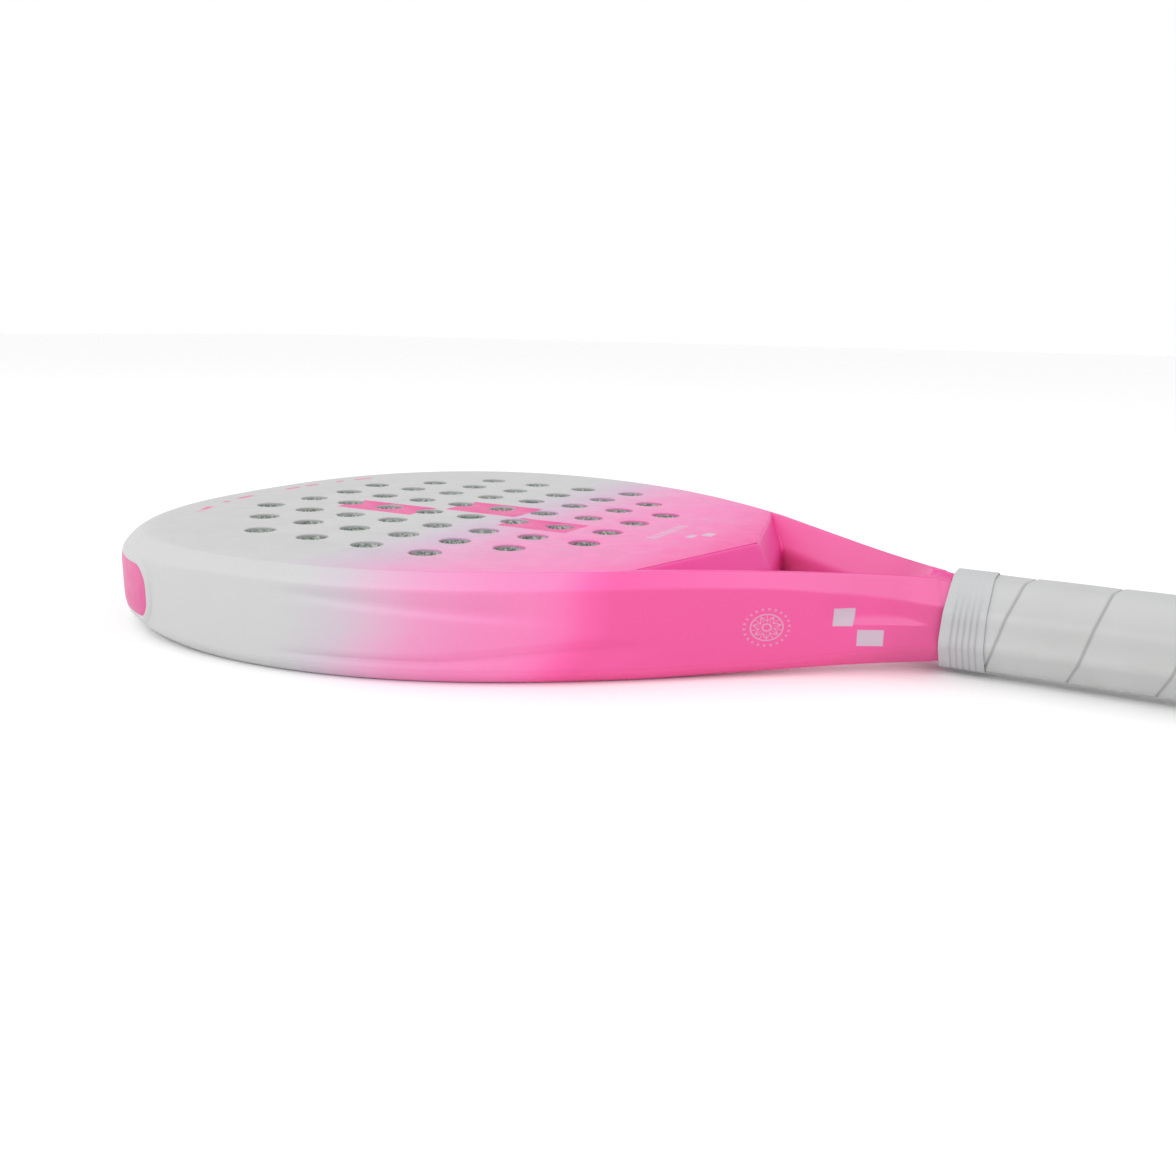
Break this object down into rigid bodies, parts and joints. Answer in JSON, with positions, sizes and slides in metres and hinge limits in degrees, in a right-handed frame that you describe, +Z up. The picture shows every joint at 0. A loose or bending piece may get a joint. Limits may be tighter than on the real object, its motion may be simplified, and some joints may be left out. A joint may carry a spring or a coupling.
{
  "type": "padel racket",
  "caption": "Padel racket with a perforated foam-cored head, hollow composite frame, throat bridge, wound grip and a sliding rubber grip collar.",
  "frame": {"origin": "middle of the racket's length and width, on the surface it lies on", "axes": "+X from the tip of the head to the butt of the handle, +Y across the head, +Z up through the thickness"},
  "size_m": [0.455, 0.258, 0.038],
  "materials": {
    "painted_frame": "satin paint over carbon and glass laminate, white at the tip turning pink at the throat",
    "painted_face": "satin paint over woven laminate, white turning pink towards the throat",
    "pink_panel": "satin",
    "core_foam": "matt closed-cell foam with light specks",
    "tube_foam": "matt expanded foam",
    "bare_laminate": "sanded laminate",
    "cap_plastic": "moulded, fine texture",
    "grip_wrap": "smooth tacky synthetic leather",
    "tape": "thin stretched tape",
    "collar_rubber": "soft matt rubber"
  },
  "bodies": {
    "racket": {"frame_tube": "painted_frame", "frame_foam": "tube_foam", "bridge": "painted_frame", "bridge_foam": "tube_foam", "core": "core_foam", "face_top": "painted_face", "face_bottom": "painted_face", "tip_inset": "pink_panel", "handle_sleeve": "bare_laminate", "butt_cap": "cap_plastic", "base_grip": "grip_wrap", "finishing_tape": "tape"},
    "collar": {"collar": "collar_rubber"}
  },
  "joints": [
    {"name": "collar_slide", "type": "slide", "parent": "racket", "child": "collar", "axis": [1, 0, 0], "range_m": [0, 0.095]}
  ]
}
